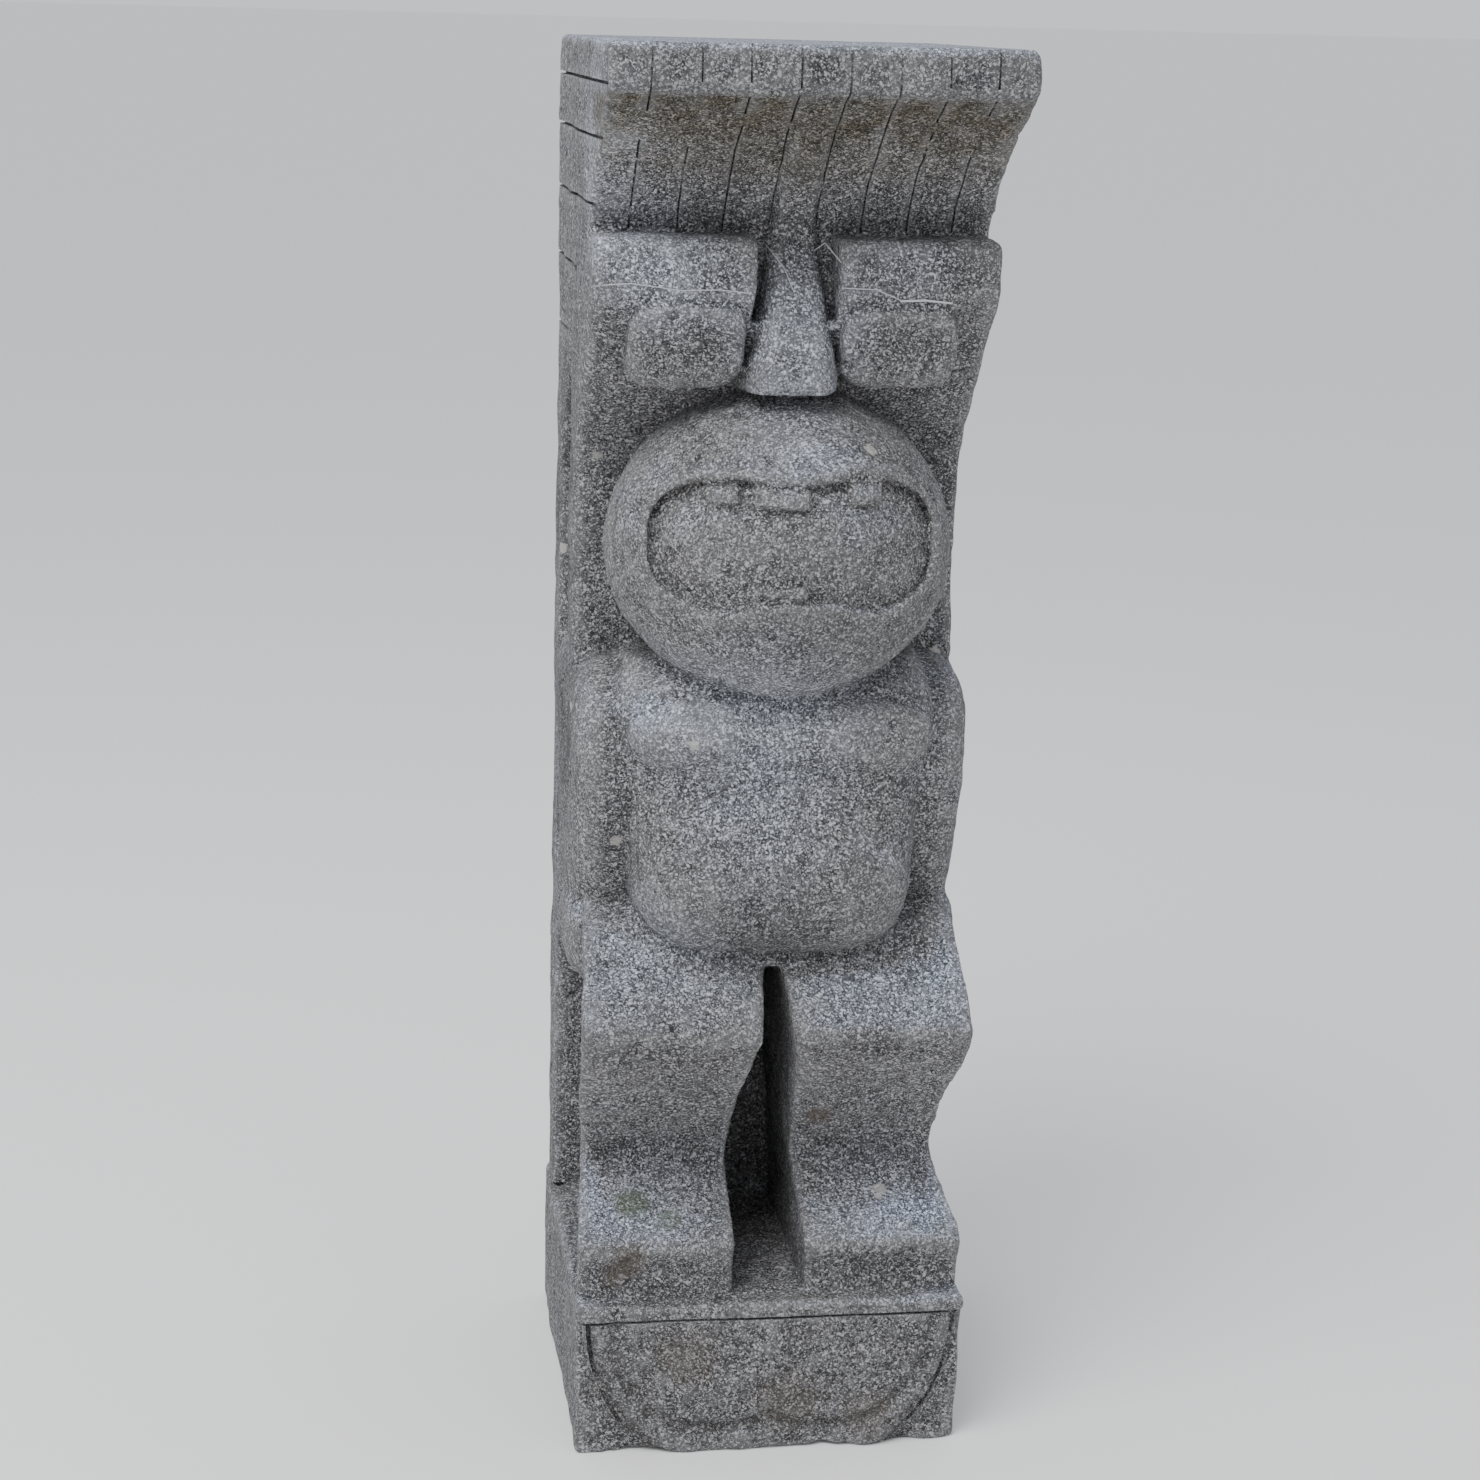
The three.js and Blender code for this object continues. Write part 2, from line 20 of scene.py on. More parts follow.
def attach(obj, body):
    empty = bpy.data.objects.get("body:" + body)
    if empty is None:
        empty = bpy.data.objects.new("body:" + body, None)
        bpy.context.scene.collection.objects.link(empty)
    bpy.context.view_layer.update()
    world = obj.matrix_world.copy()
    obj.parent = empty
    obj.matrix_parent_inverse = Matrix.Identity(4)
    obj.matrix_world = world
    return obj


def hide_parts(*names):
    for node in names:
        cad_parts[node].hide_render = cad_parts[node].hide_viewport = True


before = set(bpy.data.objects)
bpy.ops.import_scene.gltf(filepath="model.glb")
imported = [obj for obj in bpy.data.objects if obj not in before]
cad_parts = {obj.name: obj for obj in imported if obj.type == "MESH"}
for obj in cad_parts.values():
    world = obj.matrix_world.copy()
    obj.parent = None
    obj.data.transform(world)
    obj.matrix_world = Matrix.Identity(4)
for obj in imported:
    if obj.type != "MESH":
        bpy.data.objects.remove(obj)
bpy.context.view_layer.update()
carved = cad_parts["tiki_statue"]
print("solid from the frame:", len(carved.data.polygons), "triangles")

# %% [markdown]
# ## Where things are on the block
# A carver measures a block from its back, because the back is sawn flat and stays untouched. The
# lesson does the same: a place is given in millimetres as x, depth forward from the back, and
# height. One helper turns that into the frame's metres.

# %% Places on the block
MM = 0.001
BACK = 267


def place(x, depth, z):
    return Vector((x, BACK - depth, z)) * MM


def mesh_object(name, points, edges=(), faces=()):
    mesh = bpy.data.meshes.new(name)
    mesh.from_pydata([tuple(p) for p in points], list(edges), list(faces))
    made = bpy.data.objects.new(name, mesh)
    bpy.context.scene.collection.objects.link(made)
    return made


def drop(*objects):
    for gone in objects:
        bpy.data.objects.remove(gone, do_unlink=True)


print("the foot block's lower front corner lies at", tuple(place(209, 432, 0)))

# %% [markdown]
# ## The line a saw follows over the headdress
# The headdress has eight narrow grooves from front to back over the top slab, down its front and on
# down the hollow cove under it. Each is the same cut moved sideways, so one line is enough. The
# cove is a quadratic curve, as in the solid, and the line can be shifted into the stone, with its
# corners mitred as a picture frame's are, so that the shifted line keeps its distance.

# %% The line over the headdress
COVE = [(525, 1453), (385, 1386), (345, 1310)]
COVE_STEPS = 18
STRAIGHT_STEP = 12


def curve_points(start, pull, end, steps):
    points = []
    for step in range(steps + 1):
        t = step / steps
        points.append(tuple(
            (1 - t) ** 2 * a + 2 * t * (1 - t) * b + t * t * c
            for a, b, c in zip(start, pull, end)
        ))
    return points


def shifted(line, distance):
    turned = []
    for i, point in enumerate(line):
        here = Vector(point)
        before = (here - Vector(line[max(i - 1, 0)])).normalized()
        after = (Vector(line[min(i + 1, len(line) - 1)]) - here).normalized()
        if before.length == 0:
            before = after
        if after.length == 0:
            after = before
        sides = [Vector((-d.y, d.x)) for d in (before, after)]
        mitre = (sides[0] + sides[1]) / (1 + sides[0].dot(sides[1]))
        turned.append(here + mitre * distance)
    return turned


def straight(start, end):
    steps = max(1, round(math.dist(start, end) / STRAIGHT_STEP))
    return [tuple(a + (b - a) * i / steps for a, b in zip(start, end)) for i in range(steps)]


over_the_top = (
    straight((-14, 1500), (534, 1500)) + straight((534, 1500), (534, 1453))
    + curve_points(*COVE, COVE_STEPS)
)
print("saw line:", len(over_the_top), "points")

# %% [markdown]
# ## A row of saw cuts as Geometry Nodes
# Equal cuts at an equal pitch are a rule, so a node tree makes them. It turns the line into a
# curve, gives it a rectangular section, stands one copy on each point of a row and makes the copies
# real. A noise then pushes them about a little, half as far sideways as in depth, because a hand
# saw wanders and bites unevenly: with it some cuts run deep and others fade. Count, pitch, width,
# depth and wander are inputs, so the same tree serves for slips that close the solid's grooves
# before the skin is wrapped, for the cuts that open them again, for the round groove of the foot
# block and for threads of cobweb.

# %% The tree for a row of saw cuts
def saw_row_tree():
    tree = bpy.data.node_groups.new("row of saw cuts", "GeometryNodeTree")
    face = tree.interface
    face.new_socket("Line", in_out="INPUT", socket_type="NodeSocketGeometry")
    for name, kind in (
        ("Count", "NodeSocketInt"),
        ("Pitch", "NodeSocketFloat"),
        ("Width", "NodeSocketFloat"),
        ("Depth", "NodeSocketFloat"),
        ("Wander", "NodeSocketFloat"),
        ("Stone", "NodeSocketMaterial"),
    ):
        face.new_socket(name, in_out="INPUT", socket_type=kind)
    face.new_socket("Cuts", in_out="OUTPUT", socket_type="NodeSocketGeometry")
    add = tree.nodes.new
    given = add("NodeGroupInput")
    result = add("NodeGroupOutput")
    curve = add("GeometryNodeMeshToCurve")
    section = add("GeometryNodeCurvePrimitiveQuadrilateral")
    sweep = add("GeometryNodeCurveToMesh")
    row = add("GeometryNodeMeshLine")
    row.mode = "OFFSET"
    less = add("ShaderNodeMath")
    less.operation = "SUBTRACT"
    less.inputs[1].default_value = 1
    half = add("ShaderNodeMath")
    half.operation = "MULTIPLY"
    half.inputs[1].default_value = -0.5
    first = add("ShaderNodeMath")
    first.operation = "MULTIPLY"
    start = add("ShaderNodeCombineXYZ")
    stride = add("ShaderNodeCombineXYZ")
    stand = add("GeometryNodeInstanceOnPoints")
    real = add("GeometryNodeRealizeInstances")
    push = add("GeometryNodeSetPosition")
    uneven = add("ShaderNodeTexNoise")
    uneven.inputs["Scale"].default_value = 13
    uneven.inputs["Detail"].default_value = 1
    centred = add("ShaderNodeVectorMath")
    centred.operation = "SUBTRACT"
    centred.inputs[1].default_value = (0.5, 0.5, 0.5)
    mostly_in_depth = add("ShaderNodeVectorMath")
    mostly_in_depth.operation = "MULTIPLY"
    mostly_in_depth.inputs[1].default_value = (0.5, 1, 1)
    far = add("ShaderNodeVectorMath")
    far.operation = "SCALE"
    finish = add("GeometryNodeSetMaterial")
    link = tree.links.new
    link(given.outputs["Line"], curve.inputs["Mesh"])
    link(given.outputs["Width"], section.inputs["Width"])
    link(given.outputs["Depth"], section.inputs["Height"])
    link(curve.outputs["Curve"], sweep.inputs["Curve"])
    link(section.outputs["Curve"], sweep.inputs["Profile Curve"])
    sweep.inputs["Fill Caps"].default_value = True
    link(given.outputs["Count"], less.inputs[0])
    link(less.outputs[0], half.inputs[0])
    link(half.outputs[0], first.inputs[0])
    link(given.outputs["Pitch"], first.inputs[1])
    link(first.outputs[0], start.inputs["X"])
    link(given.outputs["Pitch"], stride.inputs["X"])
    link(given.outputs["Count"], row.inputs["Count"])
    link(start.outputs[0], row.inputs["Start Location"])
    link(stride.outputs[0], row.inputs["Offset"])
    link(row.outputs["Mesh"], stand.inputs["Points"])
    link(sweep.outputs["Mesh"], stand.inputs["Instance"])
    link(stand.outputs["Instances"], real.inputs["Geometry"])
    link(real.outputs["Geometry"], push.inputs["Geometry"])
    link(uneven.outputs["Color"], centred.inputs[0])
    link(centred.outputs[0], mostly_in_depth.inputs[0])
    link(mostly_in_depth.outputs[0], far.inputs[0])
    link(given.outputs["Wander"], far.inputs["Scale"])
    link(far.outputs[0], push.inputs["Offset"])
    link(push.outputs["Geometry"], finish.inputs["Geometry"])
    link(given.outputs["Stone"], finish.inputs["Material"])
    link(finish.outputs["Geometry"], result.inputs["Cuts"])
    return tree


SAW_ROW = saw_row_tree()
print("tree:", SAW_ROW.name, "with", len(SAW_ROW.nodes), "nodes")

# %% Run the tree on a line
STONE = bpy.data.materials.new("grey lava stone")


def made_plain(source, name):
    graph = bpy.context.evaluated_depsgraph_get()
    mesh = bpy.data.meshes.new_from_object(source.evaluated_get(graph))
    mesh.name = name
    plain = bpy.data.objects.new(name, mesh)
    bpy.context.scene.collection.objects.link(plain)
    drop(source)
    return plain


def outwards(thing):
    work = bmesh.new()
    work.from_mesh(thing.data)
    bmesh.ops.remove_doubles(work, verts=work.verts, dist=1e-7)
    bmesh.ops.recalc_face_normals(work, faces=work.faces)
    work.to_mesh(thing.data)
    work.free()


def saw_row(name, points, count, pitch, width, depth, wander=0):
    thing = mesh_object(name, points, edges=[(i, i + 1) for i in range(len(points) - 1)])
    modifier = thing.modifiers.new("cuts", "NODES")
    modifier.node_group = SAW_ROW
    values = {
        "Count": count, "Pitch": pitch * MM, "Width": width * MM,
        "Depth": depth * MM, "Wander": wander * MM, "Stone": STONE,
    }
    for socket in SAW_ROW.interface.items_tree:
        if socket.in_out == "INPUT" and socket.name in values:
            modifier[socket.identifier] = values[socket.name]
    plain = made_plain(thing, name)
    outwards(plain)
    return plain


def in_middle(line):
    return [place(0, depth, z) for depth, z in line]


KERF_COUNT = 8
KERF_PITCH = 47.6
KERF_WIDTH = 2.2
KERF_DEPTH = 2.8
slips = saw_row("slips", in_middle(shifted(over_the_top, -4.4)), KERF_COUNT, KERF_PITCH, 5.6, 8)
print("slips that close the grooves:", len(slips.data.polygons), "faces")

# %% [markdown]
# ## Grooves on the block's two sides
# Five short grooves lie level on each side of the headdress, at heights that the carver judged by
# eye. They don't share a pitch, so they come from a list, as plain boxes. A box slightly larger
# than a groove is a slip that closes it, and a box as wide as the groove cuts it again.

# %% Boxes for the side grooves
SIDE_GROOVES = [(1460, 526), (1406, 440), (1338, 366), (1264, 240), (1187, 120)]
SIDE_FACE = 207.5
SIDE_DEPTH = 5
BOX_FACES = [(0, 2, 3, 1), (4, 5, 7, 6), (0, 1, 5, 4), (2, 6, 7, 3), (0, 4, 6, 2), (1, 3, 7, 5)]


def boxes(name, spans):
    points, faces = [], []
    for xs, depths, zs in spans:
        first = len(points)
        points += [place(x, d, z) for x in xs for d in depths for z in zs]
        faces += [tuple(first + i for i in face) for face in BOX_FACES]
    made = mesh_object(name, points, faces=faces)
    outwards(made)
    return made


def side_grooves(name, inner, outer, half, grow=0):
    return boxes(name, [
        ((side * inner, side * outer), (-8, reach + grow), (z - half, z + half))
        for z, reach in SIDE_GROOVES
        for side in (-1, 1)
    ])


side_slips = side_grooves("side slips", SIDE_FACE - SIDE_DEPTH - 1, SIDE_FACE - 0.4, 2.8, 0.8)
for box in side_slips.data.vertices:
    box.co.y = min(box.co.y, (BACK - 0.4) * MM)
print("side slips:", len(side_slips.data.polygons) // 6)

# %% [markdown]
# ## A fine skin over the solid
# Weathering moves the surface by a millimetre or two everywhere, so the surface needs points
# everywhere. The solid has long thin triangles that can't bend. The voxel remesh wraps an even
# net of small squares round the solid and the slips together, and it is closed by its nature, so
# the later cuts are safe.

# %% Wrap the skin
SKIN_STEP = 3.0


def joined_copy(parts, name):
    work = bmesh.new()
    for part in parts:
        work.from_mesh(part.data)
    bmesh.ops.remove_doubles(work, verts=work.verts, dist=1e-7)
    mesh = bpy.data.meshes.new(name)
    work.to_mesh(mesh)
    work.free()
    made = bpy.data.objects.new(name, mesh)
    bpy.context.scene.collection.objects.link(made)
    return made


block = joined_copy([carved, slips, side_slips], "stone block")
drop(slips, side_slips)
wrap = block.modifiers.new("skin", "REMESH")
wrap.mode = "VOXEL"
wrap.voxel_size = SKIN_STEP * MM
wrap.adaptivity = 0
skin = made_plain(block, "carved_stone")
print("skin:", len(skin.data.vertices), "points")

# %% [markdown]
# ## Noise in plain numbers
# Weathering needs smooth random numbers in space. A lattice of fixed random values, blended between
# its corners, gives them: the same place always gets the same number, so the result never changes
# from one run to the next. NumPy does it for all points at once. A second kind, cell noise, puts
# one random spot in each cell of the lattice, which is how pits are strewn.

# %% Smooth noise and cell spots
def scattered(i, j, k, seed):
    mixed = (i * 73856093) ^ (j * 19349663) ^ (k * 83492791) ^ (seed * 2654435761)
    mixed = mixed & 0xFFFFFFFF
    mixed = ((mixed ^ (mixed >> 15)) * 1274126177) & 0xFFFFFFFF
    mixed = ((mixed ^ (mixed >> 13)) * 1103515245) & 0xFFFFFFFF
    return ((mixed ^ (mixed >> 16)) & 0xFFFF) / 65535


def noise(points, wavelength, seed):
    cell = points / wavelength
    corner = np.floor(cell).astype(np.int64)
    t = cell - corner
    t = t * t * (3 - 2 * t)
    total = np.zeros(len(points))
    for a in (0, 1):
        for b in (0, 1):
            for c in (0, 1):
                weight = (
                    (t[:, 0] if a else 1 - t[:, 0])
                    * (t[:, 1] if b else 1 - t[:, 1])
                    * (t[:, 2] if c else 1 - t[:, 2])
                )
                total += weight * scattered(
                    corner[:, 0] + a, corner[:, 1] + b, corner[:, 2] + c, seed)
    return 2 * total - 1


def spots(points, cell_size, share, small, large, seed):
    cell = points / cell_size
    home = np.floor(cell).astype(np.int64)
    depth = np.zeros(len(points))
    for a in (-1, 0, 1):
        for b in (-1, 0, 1):
            for c in (-1, 0, 1):
                i, j, k = home[:, 0] + a, home[:, 1] + b, home[:, 2] + c
                centre = np.stack([
                    i + scattered(i, j, k, seed), j + scattered(i, j, k, seed + 1),
                    k + scattered(i, j, k, seed + 2)], axis=1) * cell_size
                radius = small + (large - small) * scattered(i, j, k, seed + 3)
                away = np.linalg.norm(points - centre, axis=1) / radius
                kept = scattered(i, j, k, seed + 4) < share
                depth = np.maximum(depth, np.where(kept, radius * (1 - away ** 2), 0))
    return depth


print("noise at the face:", noise(np.array([[0.0, -130.0, 1200.0]]), 60, 1).round(3))

# %% [markdown]
# ## Rounding and wear
# Stone wears first where it stands proud. Smoothing the net shows where that is: a point on an
# edge moves inwards when its neighbours are averaged, and a point in a corner moves outwards. Part
# of that motion is kept as rounding, and its size tells edge from hollow for the chips. The folds
# under the chest have worn away almost wholly, so the net is smoothed longest there.

# %% Read and smooth the skin
def read_points(thing):
    flat = np.empty(len(thing.data.vertices) * 3)
    thing.data.vertices.foreach_get("co", flat)
    return flat.reshape(-1, 3) / MM


def read_normals(thing):
    flat = np.empty(len(thing.data.vertices) * 3)
    thing.data.vertex_normals.foreach_get("vector", flat)
    return flat.reshape(-1, 3)


def write_points(thing, points):
    thing.data.vertices.foreach_set("co", (points * MM).ravel())
    thing.data.update()


def read_edges(thing):
    flat = np.empty(len(thing.data.edges) * 2, dtype=np.int64)
    thing.data.edges.foreach_get("vertices", flat)
    return flat.reshape(-1, 2)


def smoothed(values, edges, rounds):
    count = len(values)
    a, b = edges[:, 0], edges[:, 1]
    near = np.bincount(a, minlength=count) + np.bincount(b, minlength=count)
    near = np.maximum(near, 1)
    out = values.copy()
    for _ in range(rounds):
        for axis in range(out.shape[1]):
            column = out[:, axis]
            total = np.bincount(a, weights=column[b], minlength=count)
            total += np.bincount(b, weights=column[a], minlength=count)
            out[:, axis] = (column + total / near) / 2
    return out


points = read_points(skin)
edges = read_edges(skin)
softened = smoothed(points, edges, 6)
wear = np.clip(0.6 + 0.5 * noise(points, 70, 11), 0.1, 1)
wear *= np.clip((BACK - points[:, 1] - 6) / 20, 0.15, 1)
x, z = points[:, 0], points[:, 2]
depth = BACK - points[:, 1]
points = points + wear[:, None] * (softened - points)
FOLD_Z = 752
FOLD_HALF_HEIGHT = 26
fold = np.exp(-((z - FOLD_Z) / FOLD_HALF_HEIGHT) ** 4) * (depth > 372) * (np.abs(x) < 175)
points = points + fold[:, None] * (smoothed(points, edges, 60) - points)
write_points(skin, points)
print("mean rounding:", round(float(np.abs(softened - points).mean()), 3), "mm")

# %% [markdown]
# ## The carver's hand and the weather
# A chiselled face is never flat: long swells come from the eye, short facets from the point. On top
# of them lie open pits where a crystal or a gas bubble fell out, and chips along the edges. Each is
# one term of a sum along the surface's own direction. The foot block's field was left rougher than
# the rest, so it gets its own term, and two soft grooves: a band along its round rim and one round
# its two lobes. Both are formulas, because the darkening of them in the colour follows the same
# lines later.

# %% Bands of the foot block
STRIP_FOOT = 155
BAND_RADIUS = 195
BAND_HALF_WIDTH = 5.5
LOBE_CENTRE = 60.5
LOBE_TOP = 143
LOBE_HALF = 117
LOBE_DROP = 119
LOBE_INSET = 0.98
LOBE_MEAN_RADIUS = 105
LOBE_HALF_WIDTH = 6.5


def rim_band(x, z):
    worn = 0.75 + 0.4 * noise(np.stack([x, x * 0, z], axis=1), 60, 53)
    off = np.hypot(x, STRIP_FOOT - z) - BAND_RADIUS
    return worn * np.exp(-(off / BAND_HALF_WIDTH) ** 2)


def lobe_band(x, z):
    worn = 0.7 + 0.5 * noise(np.stack([x, x * 0, z], axis=1), 45, 54)
    both = [
        np.hypot((x - side * LOBE_CENTRE) / LOBE_HALF, (z - LOBE_TOP) / LOBE_DROP)
        for side in (-1, 1)
    ]
    off = (np.minimum(*both) - LOBE_INSET) * LOBE_MEAN_RADIUS
    return worn * np.exp(-(off / LOBE_HALF_WIDTH) ** 2)


at_left_end = rim_band(np.array([-float(BAND_RADIUS)]), np.array([float(STRIP_FOOT)]))
print("rim band at the left end:", at_left_end.round(2))

# %% Swells, facets, pits and chips
normals = read_normals(skin)
proud = -np.sum((smoothed(points, edges, 14) - points) * normals, axis=1)
swell = (
    0.9
    + 1.9 * noise(points, 120, 21)
    + 1.5 * noise(points, 52, 22)
    + 0.9 * noise(points, 24, 23)
    + 0.65 * noise(points, 12, 24)
)
pits = 0.5 * spots(points, 30, 0.36, 3.5, 8, 31)
chips = np.clip(proud, 0, 3.5) * np.clip(noise(points, 26, 41) + 0.15, 0, 1) * 1.5
x, z = points[:, 0], points[:, 2]
depth = BACK - points[:, 1]
in_field = (depth > 405) & (z < 153) & (np.abs(x) < 204)
field = np.where(in_field, 2.2 * noise(points, 15, 51) + 3.6 * noise(points, 38, 52), 0)
back_face = np.clip((depth - 4) / 12, 0.25, 1)
moved = (swell + field) * back_face - pits - chips
grooves = 4.5 * rim_band(x, z) + 4.0 * lobe_band(x, z)
moved -= np.where(in_field, grooves, 0)
print("grooves of the foot block reach", grooves[in_field].max().round(1), "mm")

# %% [markdown]
# ## The lips and the teeth
# The mouth is sunk into the ball of the muzzle, deepest under the upper lip, where it throws the
# line of shade that the eye reads as a mouth. The outline is a squared ellipse with a dip in the
# upper lip and a rise in the lower one, so a formula tells how far a point lies inside it. A narrow
# trough just inside the outline, and a faint roll outside it, bring the worn edge back. Three teeth
# above and one below are so worn that only a shallow line round each still shows.

# %% Sharpen the mouth
MOUTH_Z = 1003
MOUTH_HALF = 147
MOUTH_REACH = 73
SQUARENESS = 2.9
TEETH = [(-96, -62, 1048, 1110), (-40, 10, 1044, 1110), (54, 86, 1049, 1110), (-36, 6, 900, 962)]


def inside_mouth(x, z):
    rise = 20 * np.exp(-(x / 62) ** 4)
    dip = 8 * np.exp(-(x / 46) ** 4)
    lifted = 5 * np.clip(x / 90, -0.6, 1)
    reach = MOUTH_REACH + np.where(z > MOUTH_Z, lifted - dip, -rise)
    across = np.abs(x / MOUTH_HALF) ** SQUARENESS
    along = np.abs((z - MOUTH_Z) / reach) ** SQUARENESS
    share = (across + along) ** (1 / SQUARENESS)
    size = (across * MOUTH_HALF + along * reach) / (across + along + 1e-9)
    return (1 - share) * size


inside = inside_mouth(x, z)
on_ball = (depth > 396) & (np.abs(x) < 165) & (np.abs(z - MOUTH_Z) < 95)
upper = np.clip((z - MOUTH_Z + 25) / 60, 0, 1)
worn = 0.7 + 0.5 * noise(points, 34, 61)
middle = np.exp(-(x / 58) ** 4) * (1 - upper)
trough = worn * (1.7 * upper + 2.8 * middle) * np.exp(-((inside - 3) / 5) ** 2)
roll = worn * (0.4 + 1.0 * upper) * np.exp(-((inside + 7) / 6) ** 2)
moved += np.where(on_ball, roll - trough, 0)
for left, right, low, high in TEETH:
    beyond = np.maximum(np.maximum(left - x, x - right), np.maximum(low - z, z - high))
    tooth = 0.8 * (beyond < 0) - 1.5 * np.exp(-((beyond - 3) / 3) ** 2)
    moved += np.where(on_ball & (inside > 4), tooth, 0)
print("points at the lip:", int((on_ball & (np.abs(inside) < 6)).sum()))

# %% [markdown]
# ## Marks of this one statue
# A few marks are particular to it: the hollow of the navel, a mark on the chest, pits on one knee,
# a hole in the strip of the foot block and a chip under the other knee. Each is a small dent, given
# by its place, its radius and how deep it goes.

# %% Single marks
MARKS = [
    # x, depth, z, radius, depth of the dent
    (-29, 412, 609, 15, 5.5), (-22, 412, 598, 12, 3.0),
    (80, 405, 752, 12, 5.5), (97, 402, 745, 9, -2.5), (64, 405, 744, 9, -1.5),
    (-100, 405, 752, 24, 5.0), (-60, 400, 742, 26, 4.0), (20, 398, 740, 24, 2.5),
    (130, 396, 692, 28, 5.0), (-152, 394, 705, 22, 4.0), (118, 396, 640, 22, -3.0),
    (-152, 424, 463, 10, 6.0), (-137, 422, 452, 8, 4.5), (-120, 418, 440, 12, 3.0),
    (-169, 431, 163, 9, 6.0), (140, 370, 402, 16, 3.0),
    (-90, 411, 784, 9, -2.0), (-120, 430, 120, 18, 4.0), (40, 425, 60, 24, 4.0),
    (-60, 428, 20, 24, 4.0), (60, 428, 10, 22, 3.5), (150, 428, 6, 18, 4.5),
    (-150, 404, 214, 16, 3.0), (-120, 404, 208, 12, 3.0), (150, 404, 212, 14, 2.5),
    (0, 534, 1476, 16, 2.0), (150, 534, 1470, 15, 2.5), (-60, 534, 1480, 12, 1.5),
    (-158, 404, 200, 20, 2.5), (-140, 405, 206, 12, -1.5), (206, 425, 20, 34, 4.0),
    (190, 534, 1462, 16, 3.0), (-196, 534, 1490, 14, 2.5), (110, 408, 1290, 16, 2.5),
]
for mark_x, mark_depth, mark_z, radius, dent in MARKS:
    centre = np.array([mark_x, BACK - mark_depth, mark_z])
    away = np.linalg.norm(points - centre, axis=1) / radius
    moved -= dent * np.exp(-away ** 2 * 1.5)
points = points + moved[:, None] * normals
points[:, 2] = np.clip(points[:, 2], 0.2, 1500)
points[:, 1] = np.minimum(points[:, 1], BACK)
write_points(skin, points)
print("marks:", len(MARKS))

# %% [markdown]
# ## Cut the grooves again
# Now the saw runs over the weathered block. A boolean difference takes the same rows of cuts out of
# the skin, so the grooves keep their crisp walls while the stone round them is worn. Cutting after
# the weathering also makes the depth vary a little, as it does on the real one.

# %% Saw the grooves
def cut_out(target, tool, solver="MANIFOLD"):
    modifier = target.modifiers.new("cut", "BOOLEAN")
    modifier.operation = "DIFFERENCE"
    modifier.solver = solver
    modifier.object = tool
    name = target.name
    result = made_plain(target, name)
    drop(tool)
    return result


skin.name = "carved_stone"
saw = saw_row("saw", in_middle(over_the_top), KERF_COUNT, KERF_PITCH, KERF_WIDTH,
              2 * KERF_DEPTH, wander=11)
skin = cut_out(skin, saw)
skin = cut_out(skin, side_grooves("side saw", SIDE_FACE - SIDE_DEPTH, SIDE_FACE + 6, 1.7))
print("after the cuts:", len(skin.data.polygons), "faces")

# %% [markdown]
# ## Lines on the foot block
# A straight line parts the strip along the top of the foot block from the round field below it, and
# an arc bounds the field. Both were cut narrow and deep, and the weather hasn't closed them. The arc
# lies in the front plane, so the tree's section has its depth and width the other way round there.
# A short slit is left where the panel stands on the foot block.

# %% Cut the foot block's lines
FOOT_FRONT = 432
RIM_RADIUS = 200
RIM_WIDTH = 5.4
RIM_SECTION = 14


def lower_arc(half, drop, top_z, steps=48):
    turns = [math.pi * (1 + i / steps) for i in range(steps + 1)]
    return [place(half * math.cos(t), FOOT_FRONT - 1, top_z + drop * math.sin(t)) for t in turns]


rim_line = lower_arc(RIM_RADIUS, RIM_RADIUS, STRIP_FOOT)
rim = saw_row("rim of the field", rim_line, 1, 0, RIM_SECTION, RIM_WIDTH, wander=4)
skin = cut_out(skin, rim)
straight_cuts = boxes("strip line", [
    ((-219, 219), (FOOT_FRONT - 5, FOOT_FRONT + 8), (STRIP_FOOT - 1.6, STRIP_FOOT + 1.6)),
    ((-219, -196), (66, 112), (169, 174)),
])
skin = cut_out(skin, straight_cuts)
print("after the foot block's lines:", len(skin.data.polygons), "faces")

# %% [markdown]
# ## Fewer triangles where the stone is calm
# The even net spends as much on a flat back as on a tooth. Collapsing the edges that change the
# shape least brings the count down and leaves the detail where the eye looks.

# %% Thin the net
MOST_TRIANGLES = 186000


def thinned(thing, most):
    count = sum(len(p.vertices) - 2 for p in thing.data.polygons)
    modifier = thing.modifiers.new("thin", "DECIMATE")
    modifier.ratio = min(1, most / count)
    modifier.use_collapse_triangulate = True
    return made_plain(thing, thing.name)


stone = thinned(skin, MOST_TRIANGLES)
print("stone:", len(stone.data.polygons), "triangles")

# %% [markdown]
# ## Threads of a web
# A few threads of cobweb, white with dust, hang over the brows and beside the nose. Each follows
# the face from the left to the right and is drawn tight between its ends, unless the stone stands
# in its way. The tree that made the saw cuts makes the threads too, as a row of one. They belong to
# the stone's own mesh, and a number on their points lets the material whiten them.

# %% Hang the threads
THREAD_STEPS = 8
THREAD_LIFT = 0.7
THREADS = [
    # thickness, then x and z of its points
    (0.9, [(-198, 1261), (-171, 1263), (-121, 1257), (-81, 1258), (-50, 1255)]),
    (0.8, [(47, 1261), (79, 1260), (106, 1249)]),
    (2.0, [(104, 1249), (129, 1250), (158, 1247)]),
    (0.8, [(-27, 1299), (-10, 1276), (-3, 1257)]),
    (0.8, [(22, 1295), (29, 1304), (43, 1286)]),
]


def face_depth(tree, x, z):
    hit = tree.ray_cast(Vector((x * MM, -0.6, z * MM)), Vector((0, 1, 0)))[0]
    return BACK - hit.y / MM


